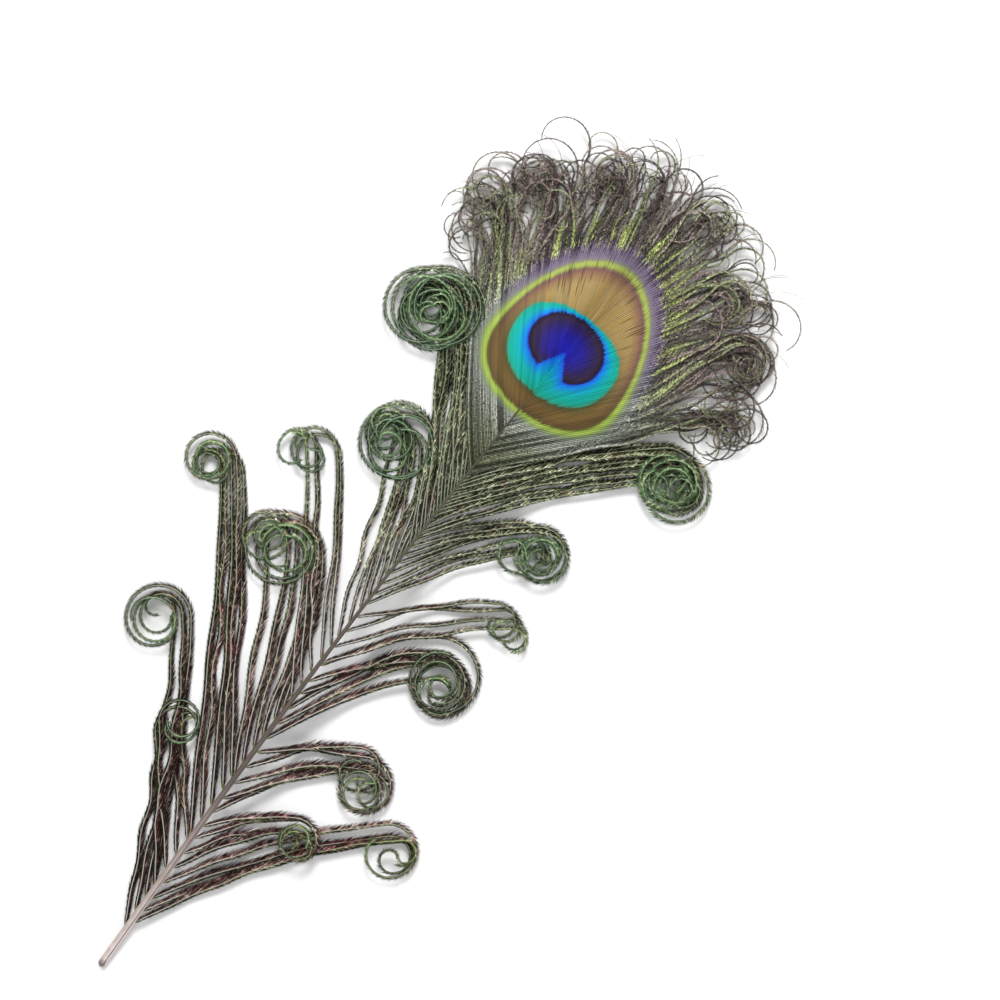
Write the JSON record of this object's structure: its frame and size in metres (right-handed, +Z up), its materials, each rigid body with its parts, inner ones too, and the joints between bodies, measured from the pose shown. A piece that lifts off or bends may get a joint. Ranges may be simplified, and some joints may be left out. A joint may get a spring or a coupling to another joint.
{
  "type": "peacock feather",
  "caption": "Cut peacock eye feather lying face up, with a straight shaft, loose barbs curled into locks on both sides and a closed web round the eyespot at the tip.",
  "frame": {"origin": "bottom centre of the feather's box, on the surface that it lies on", "axes": "+Z up from the surface, through the feather's face; +Y along the shaft from the quill end to the tip; +X to the right of the shaft seen from above"},
  "size_m": [0.12, 0.269, 0.0086],
  "materials": {
    "shaft_keratin": "satin",
    "herl_barbules": "satin",
    "eye_barbules": "satin",
    "fringe_barbules": "satin"
  },
  "bodies": {
    "root": {"shaft": "shaft_keratin", "herl_left_01": "herl_barbules", "herl_left_02": "herl_barbules", "herl_left_03": "herl_barbules", "herl_left_04": "herl_barbules", "herl_left_05": "herl_barbules", "herl_left_06": "herl_barbules", "herl_left_07": "herl_barbules", "herl_left_08": "herl_barbules", "herl_left_09": "herl_barbules", "herl_left_10": "herl_barbules", "herl_left_11": "herl_barbules", "herl_left_12": "herl_barbules", "herl_left_13": "herl_barbules", "herl_left_14": "herl_barbules", "herl_left_15": "herl_barbules", "herl_left_16": "herl_barbules", "herl_left_17": "herl_barbules", "herl_left_18": "herl_barbules", "herl_left_19": "herl_barbules", "herl_left_20": "herl_barbules", "herl_left_21": "herl_barbules", "herl_left_22": "herl_barbules", "herl_left_23": "herl_barbules", "herl_left_24": "herl_barbules", "herl_left_25": "herl_barbules", "eye_web_left": "eye_barbules", "herl_right_01": "herl_barbules", "herl_right_02": "herl_barbules", "herl_right_03": "herl_barbules", "herl_right_04": "herl_barbules", "herl_right_05": "herl_barbules", "herl_right_06": "herl_barbules", "herl_right_07": "herl_barbules", "herl_right_08": "herl_barbules", "herl_right_09": "herl_barbules", "herl_right_10": "herl_barbules", "herl_right_11": "herl_barbules", "herl_right_12": "herl_barbules", "herl_right_13": "herl_barbules", "herl_right_14": "herl_barbules", "herl_right_15": "herl_barbules", "herl_right_16": "herl_barbules", "herl_right_17": "herl_barbules", "herl_right_18": "herl_barbules", "herl_right_19": "herl_barbules", "herl_right_20": "herl_barbules", "herl_right_21": "herl_barbules", "herl_right_22": "herl_barbules", "herl_right_23": "herl_barbules", "herl_right_24": "herl_barbules", "herl_right_25": "herl_barbules", "eye_web_right": "eye_barbules"}
  },
  "joints": []
}
